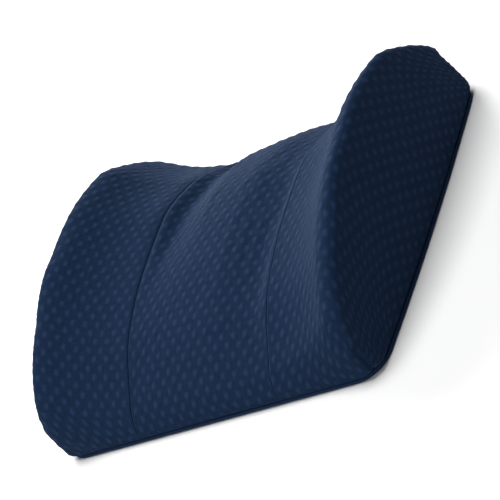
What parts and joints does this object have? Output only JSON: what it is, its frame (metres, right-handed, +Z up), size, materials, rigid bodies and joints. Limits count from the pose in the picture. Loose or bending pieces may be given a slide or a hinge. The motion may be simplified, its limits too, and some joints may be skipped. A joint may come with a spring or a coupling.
{
  "type": "lumbar cushion",
  "caption": "Contoured lumbar cushion with a flat back, a hollow down the middle, raised side wings and two sewn seams.",
  "frame": {"origin": "middle of the underside of the back panel, on the surface that the cushion lies on", "axes": "+X to the right across the cushion, +Y from the foot to the top edge, +Z up through the thickness, away from the flat back"},
  "size_m": [0.339, 0.304, 0.1055],
  "materials": {
    "wing_knit": "matte navy knit with raised dots",
    "centre_knit": "matte navy knit with raised dots",
    "back_knit": "matte navy knit"
  },
  "bodies": {
    "root": {"wing_left": "wing_knit", "centre_panel": "centre_knit", "wing_right": "wing_knit", "back_panel": "back_knit"}
  },
  "joints": []
}
